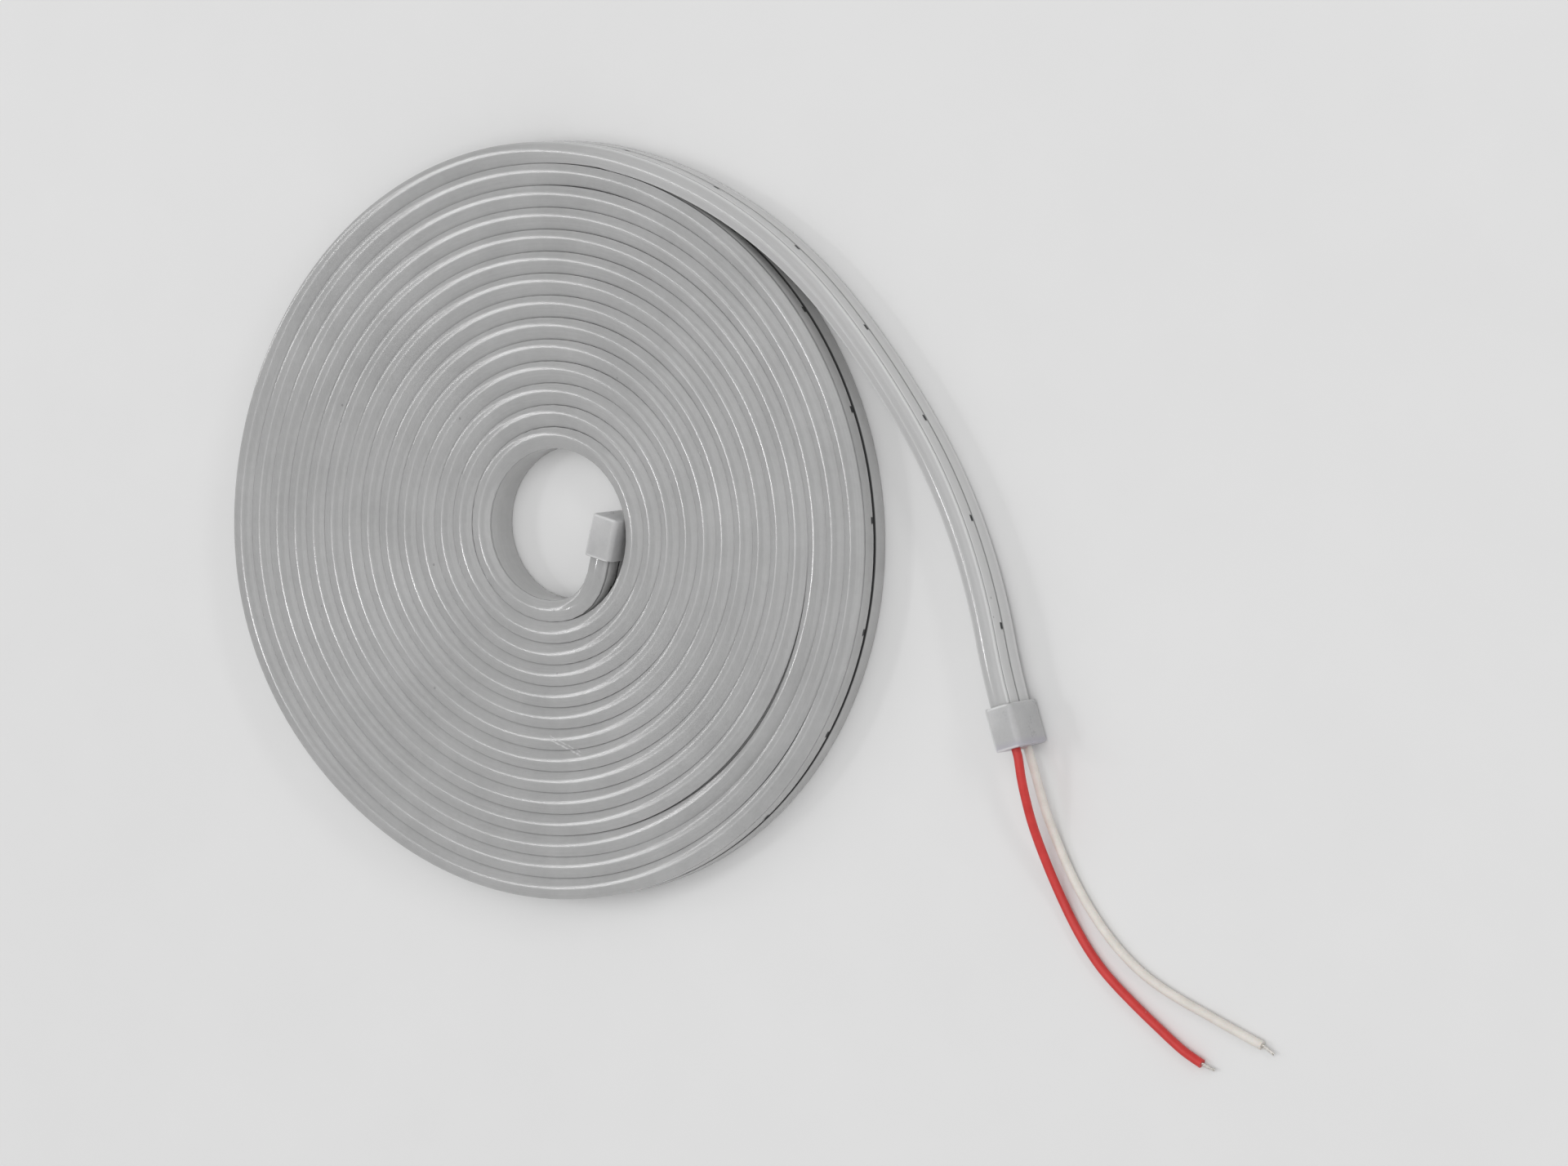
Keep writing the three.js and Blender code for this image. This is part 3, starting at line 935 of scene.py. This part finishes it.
red_strands = make_strands("red_lead_strands", red_points, -0.12)
white_strands = make_strands("white_lead_strands", white_points, 0.16)
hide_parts("red_lead_tip")
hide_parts("white_lead_tip")

print("Leads are", round(1000 * red_length, 1), "and", round(1000 * white_length, 1), "mm long")

# %% [markdown]
# ## End caps
# Each cap is a short moulded silicone sleeve with one closed end, pushed over the strip and glued.
# A cube at the cap's size is the start. Its four long edges are rounded most, then the closed end,
# the mouth is inset and pushed in, and its rim gets a small rounding of its own. Silicone this thin
# lets light through, so the finish is cloudier than the strip's, its thin edges are painted paler as
# a painted highlight, and where the leads come out a little of their colour shows. A place written
# on each point, along, across and up the cap, tells the finish where the edges are, and a second
# value where the leads are.

# %% Cap finish
def make_cap_silicone():
    material, tree, shader = new_material("cap_silicone", 0.36, Subsurface_Weight=0.85,
                                          Subsurface_Scale=0.003, IOR=1.41)
    shader.inputs["Subsurface Radius"].default_value = (1.0, 0.98, 1.0)
    place = object_place(tree)
    cloud = cloud_over(tree, place, 180.0)
    speck = place_group(tree, dust_specks, Vector=place, Scale=300.0, Size=0.07)
    in_cap = node(tree, "ShaderNodeAttribute", attribute_type="GEOMETRY", attribute_name="cap_place")
    axes = node(tree, "ShaderNodeSeparateXYZ")
    tree.links.new(in_cap.outputs["Vector"], axes.inputs["Vector"])
    along, _, up = [math_node(tree, "ABSOLUTE", socket) for socket in axes.outputs]
    # Painted highlight: the long edges on the eye side and the top and bottom edges at the ends are
    # painted pale.
    eyeward = math_node(tree, "MAXIMUM", axes.outputs["Y"], 0.0)
    long_edge = ramp_up(tree, math_node(tree, "MULTIPLY", eyeward, up), 0.7, 0.84)
    end_edge = ramp_up(tree, math_node(tree, "MULTIPLY", along, up), 0.87, 0.95)
    pale = scaled(tree, math_node(tree, "MAXIMUM", long_edge, end_edge), 0.6)
    colour = colour_ramp(tree, cloud, [(0.3, (0.45, 0.45, 0.455)), (0.7, (0.53, 0.53, 0.53))])
    by_leads = node(tree, "ShaderNodeAttribute", attribute_type="GEOMETRY", attribute_name="by_leads")
    tint = scaled(tree, ramp_up(tree, by_leads.outputs["Fac"], 0.5, 1.0), 0.6)
    colour = mix_colour(tree, tint, colour, (0.38, 0.365, 0.43))
    colour = mix_colour(tree, pale, colour, (0.8, 0.8, 0.8))
    colour = mix_colour(tree, scaled(tree, speck, 0.3), colour, (0.7, 0.7, 0.7))
    tree.links.new(colour, shader.inputs["Base Color"])
    tree.links.new(scaled(tree, cloud, 0.2, 0.2), shader.inputs["Roughness"])
    add_bump(tree, shader, cloud, strength=0.3, distance=0.00008)
    return material


cap_silicone = make_cap_silicone()
print(cap_silicone.name, "has", len(cap_silicone.node_tree.nodes), "nodes")

# %% Model a cap
CAP_LONG_ROUNDING, CAP_END_ROUNDING, CAP_MOUTH_ROUNDING = 1.3, 0.6, 0.3
NEARLY = 0.01


def write_cap_place(cap, eye_side, leads):
    places = np.empty(len(cap.data.vertices) * 3)
    cap.data.vertices.foreach_get("co", places)
    size = np.array([CAP_LENGTH, CAP_WIDTH, CAP_HEIGHT]) * MM / 2
    middle = np.array([CAP_LENGTH, 0, CAP_HEIGHT]) * MM / 2
    places = (places.reshape(-1, 3) - middle) / size
    near_leads = cap.data.attributes.new("by_leads", "FLOAT", "POINT")
    near_leads.data.foreach_set("value", places[:, 0] * leads)
    places[:, 1] *= eye_side
    layer = cap.data.attributes.new("cap_place", "FLOAT_VECTOR", "POINT")
    layer.data.foreach_set("vector", places.ravel())


def select_cap_edges(cap, wanted):
    bpy.ops.object.mode_set(mode="EDIT")
    bpy.ops.mesh.select_mode(type="EDGE")
    bpy.ops.mesh.select_all(action="DESELECT")
    bpy.ops.object.mode_set(mode="OBJECT")
    for edge in cap.data.edges:
        a, b = (cap.data.vertices[i].co for i in edge.vertices)
        edge.select = wanted(a, b)
    bpy.ops.object.mode_set(mode="EDIT")


def make_cap(name, mouth, heading, node_name, eye_side, leads):
    bpy.ops.object.select_all(action="DESELECT")
    bpy.ops.mesh.primitive_cube_add(size=1, location=(CAP_LENGTH / 2 * MM, 0, CAP_HEIGHT / 2 * MM))
    cap = bpy.context.view_layer.objects.active
    cap.name = name
    cap.scale = (CAP_LENGTH * MM, CAP_WIDTH * MM, CAP_HEIGHT * MM)
    bpy.ops.object.transform_apply(location=True, rotation=False, scale=True)
    select_cap_edges(cap, lambda a, b: abs(a.x - b.x) > CAP_LENGTH / 2 * MM)
    bpy.ops.mesh.bevel(offset=CAP_LONG_ROUNDING * MM, segments=6, affect="EDGES")
    select_cap_edges(cap, lambda a, b: min(a.x, b.x) > (CAP_LENGTH - NEARLY) * MM)
    bpy.ops.mesh.bevel(offset=CAP_END_ROUNDING * MM, segments=4, affect="EDGES")
    bpy.ops.mesh.select_mode(type="FACE")
    bpy.ops.mesh.select_all(action="DESELECT")
    bpy.ops.object.mode_set(mode="OBJECT")
    for face in cap.data.polygons:
        face.select = face.normal.x < -0.9
    bpy.ops.object.mode_set(mode="EDIT")
    bpy.ops.mesh.inset(thickness=CAP_WALL * MM)
    depth = (CAP_LENGTH - CAP_END_WALL) * MM
    bpy.ops.mesh.extrude_region_move(TRANSFORM_OT_translate={"value": (depth, 0, 0)})
    select_cap_edges(cap, lambda a, b: max(a.x, b.x) < NEARLY * MM)
    bpy.ops.mesh.bevel(offset=CAP_MOUTH_ROUNDING * MM, segments=3, affect="EDGES")
    bpy.ops.object.mode_set(mode="OBJECT")
    write_cap_place(cap, eye_side, leads)
    to_mouth = Matrix.Translation(ROLL_CENTRE + Vector((mouth.x, mouth.y, 0)) * MM)
    cap.data.transform(to_mouth @ Matrix.Rotation(heading, 4, "Z"))
    cap.data.update()
    bpy.ops.object.shade_smooth_by_angle(angle=math.radians(50))
    cap.data.materials.append(cap_silicone)
    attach(cap, "root")
    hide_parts(node_name)
    print(name, "has", len(cap.data.polygons), "faces")


make_cap("outer_cap", tail_mouth, tail_heading, "outer_end_cap", eye_side=-1, leads=1)
make_cap("inner_cap", inner_mouth, inner_heading, "inner_end_cap", eye_side=1, leads=0)

# %% [markdown]
# ### Sealant at the leads
# A dab of sealant closes the end wall between the leads. It has picked up a little of the red
# lead's colour. It is a ball pressed flat against the wall and pulled slightly out of round.

# %% Dab of sealant
DAB_DEPTH, DAB_WIDTH, DAB_HEIGHT = 0.55, 1.25, 2.1


def make_sealant():
    bpy.ops.object.select_all(action="DESELECT")
    bpy.ops.mesh.primitive_uv_sphere_add(segments=28, ring_count=16, radius=1, location=(0, 0, 0))
    dab = bpy.context.view_layer.objects.active
    dab.name = "sealant_dab"
    for vertex in dab.data.vertices:
        x, y, z = vertex.co
        swell = 1 + 0.16 * math.sin(5 * z + 1.3) * math.cos(3 * y)
        vertex.co = (DAB_DEPTH * x, DAB_WIDTH * y * swell, DAB_HEIGHT * z * swell)
    middle = ahead_of_cap(CAP_LENGTH - 0.1, CAP_HEIGHT / 2)
    to_wall = Matrix.Translation(ROLL_CENTRE + middle * MM) @ Matrix.Rotation(tail_heading, 4, "Z")
    dab.data.transform(to_wall @ Matrix.Diagonal((MM, MM, MM, 1)))
    bpy.ops.object.shade_smooth()
    material, tree, shader = new_material("sealant", 0.3, Subsurface_Weight=0.3, Subsurface_Scale=0.001)
    cloud = cloud_over(tree, object_place(tree), 700.0)
    colour = colour_ramp(tree, cloud, [(0.35, (0.36, 0.24, 0.24)), (0.65, (0.5, 0.4, 0.4))])
    tree.links.new(colour, shader.inputs["Base Color"])
    dab.data.materials.append(material)
    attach(dab, "root")
    return dab


sealant = make_sealant()
print("Sealant dab has", len(sealant.data.polygons), "faces")

# %% [markdown]
# ## Floor and light
# The reel lies on a plain pale table that runs past the picture's edges. The light is a studio's:
# an even pale room with a big soft lamp overhead and a smaller one on the right, and on the left a
# narrow soft lamp, bent in three lengths, that draws the highlights along the domed turns. One
# small lamp beside it strikes the short bright dashes where the turns run up the picture.

# %% Floor
FLOOR_SIZE, FLOOR_DROP = 8, 0.00005


def make_floor():
    bpy.ops.object.select_all(action="DESELECT")
    bpy.ops.mesh.primitive_plane_add(size=FLOOR_SIZE, location=(0, 0, -FLOOR_DROP))
    floor = bpy.context.view_layer.objects.active
    floor.name = "floor"
    material, tree, shader = new_material("pale_table", 0.6)
    cloud = cloud_over(tree, object_place(tree), 5.0)
    colour = colour_ramp(tree, cloud, [(0.3, (0.74, 0.74, 0.74)), (0.7, (0.77, 0.77, 0.77))])
    tree.links.new(colour, shader.inputs["Base Color"])
    floor.data.materials.append(material)
    floor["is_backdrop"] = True


make_floor()
print("Floor is", FLOOR_SIZE, "m wide")

# %% Lamps
def new_area_lamp(name, size, power):
    data = bpy.data.lights.new(name, "AREA")
    data.shape = "RECTANGLE"
    data.size, data.size_y = size
    data.energy = power
    return add_object(name, data)


def square_lamp(name, place, side, power):
    lamp = new_area_lamp(name, (side, side), power)
    lamp.rotation_mode = "QUATERNION"
    lamp.location = place
    lamp.rotation_quaternion = (ROLL_CENTRE - place).to_track_quat("-Z", "Y")


def long_lamp(name, start, end, width, power):
    a, b = ROLL_CENTRE + FAR * Vector(start), ROLL_CENTRE + FAR * Vector(end)
    middle = (a + b) / 2
    to_roll = (ROLL_CENTRE - middle).normalized()
    lamp = new_area_lamp(name, ((b - a).length, width), power)
    long_way = (b - a).normalized()
    back = -(to_roll - long_way * to_roll.dot(long_way)).normalized()
    short_way = back.cross(long_way)
    lamp.matrix_world = Matrix((
        (long_way.x, short_way.x, back.x, middle.x),
        (long_way.y, short_way.y, back.y, middle.y),
        (long_way.z, short_way.z, back.z, middle.z),
        (0, 0, 0, 1),
    ))


FAR = 3.0
SOFTBOX_BENDS = ((-0.54, -0.04, 0.84), (-0.61, 0.12, 0.78), (-0.76, 0.19, 0.62), (-0.93, 0.10, 0.35))
LENGTH_WIDTHS, LENGTH_POWERS = (0.22, 0.13, 0.13), (4.6, 2.0, 3.2)
for number, (width, power) in enumerate(zip(LENGTH_WIDTHS, LENGTH_POWERS)):
    start, end = SOFTBOX_BENDS[number:number + 2]
    long_lamp(f"bent_softbox_{number}", start, end, width, power)
long_lamp("side_softbox", (0.62, 0.62, 0.5), (0.85, 0.1, 0.5), width=0.3, power=7)
small_lamp_place = ROLL_CENTRE + FAR * Vector((-0.623, -0.1, 0.776))
square_lamp("small_lamp", small_lamp_place, side=0.06, power=1.7)
square_lamp("top_softbox", Vector((0.5, 0.3, 2.8)), side=2.5, power=31)

world = bpy.data.worlds.new("pale_room")
world.use_nodes = True
world.node_tree.nodes["Background"].inputs["Color"].default_value = (0.9, 0.9, 0.9, 1)
world.node_tree.nodes["Background"].inputs["Strength"].default_value = 0.58
bpy.context.scene.world = world
bpy.context.scene.view_settings.view_transform = "Standard"

# %% [markdown]
# ## Last look
# Both boxes, the solids' and the dressed reel's, are printed side by side. The dressed reel has to
# keep the size of its solids.

# %% Print the sizes and finish
bpy.context.view_layer.update()
dressed_low, dressed_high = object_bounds()
sizes = {
    "solids": [list(solid_low), list(solid_high)],
    "dressed": [list(dressed_low), list(dressed_high)],
}
for label, (low, high) in sizes.items():
    print(label, [round(1000 * v, 2) for v in low], [round(1000 * v, 2) for v in high])
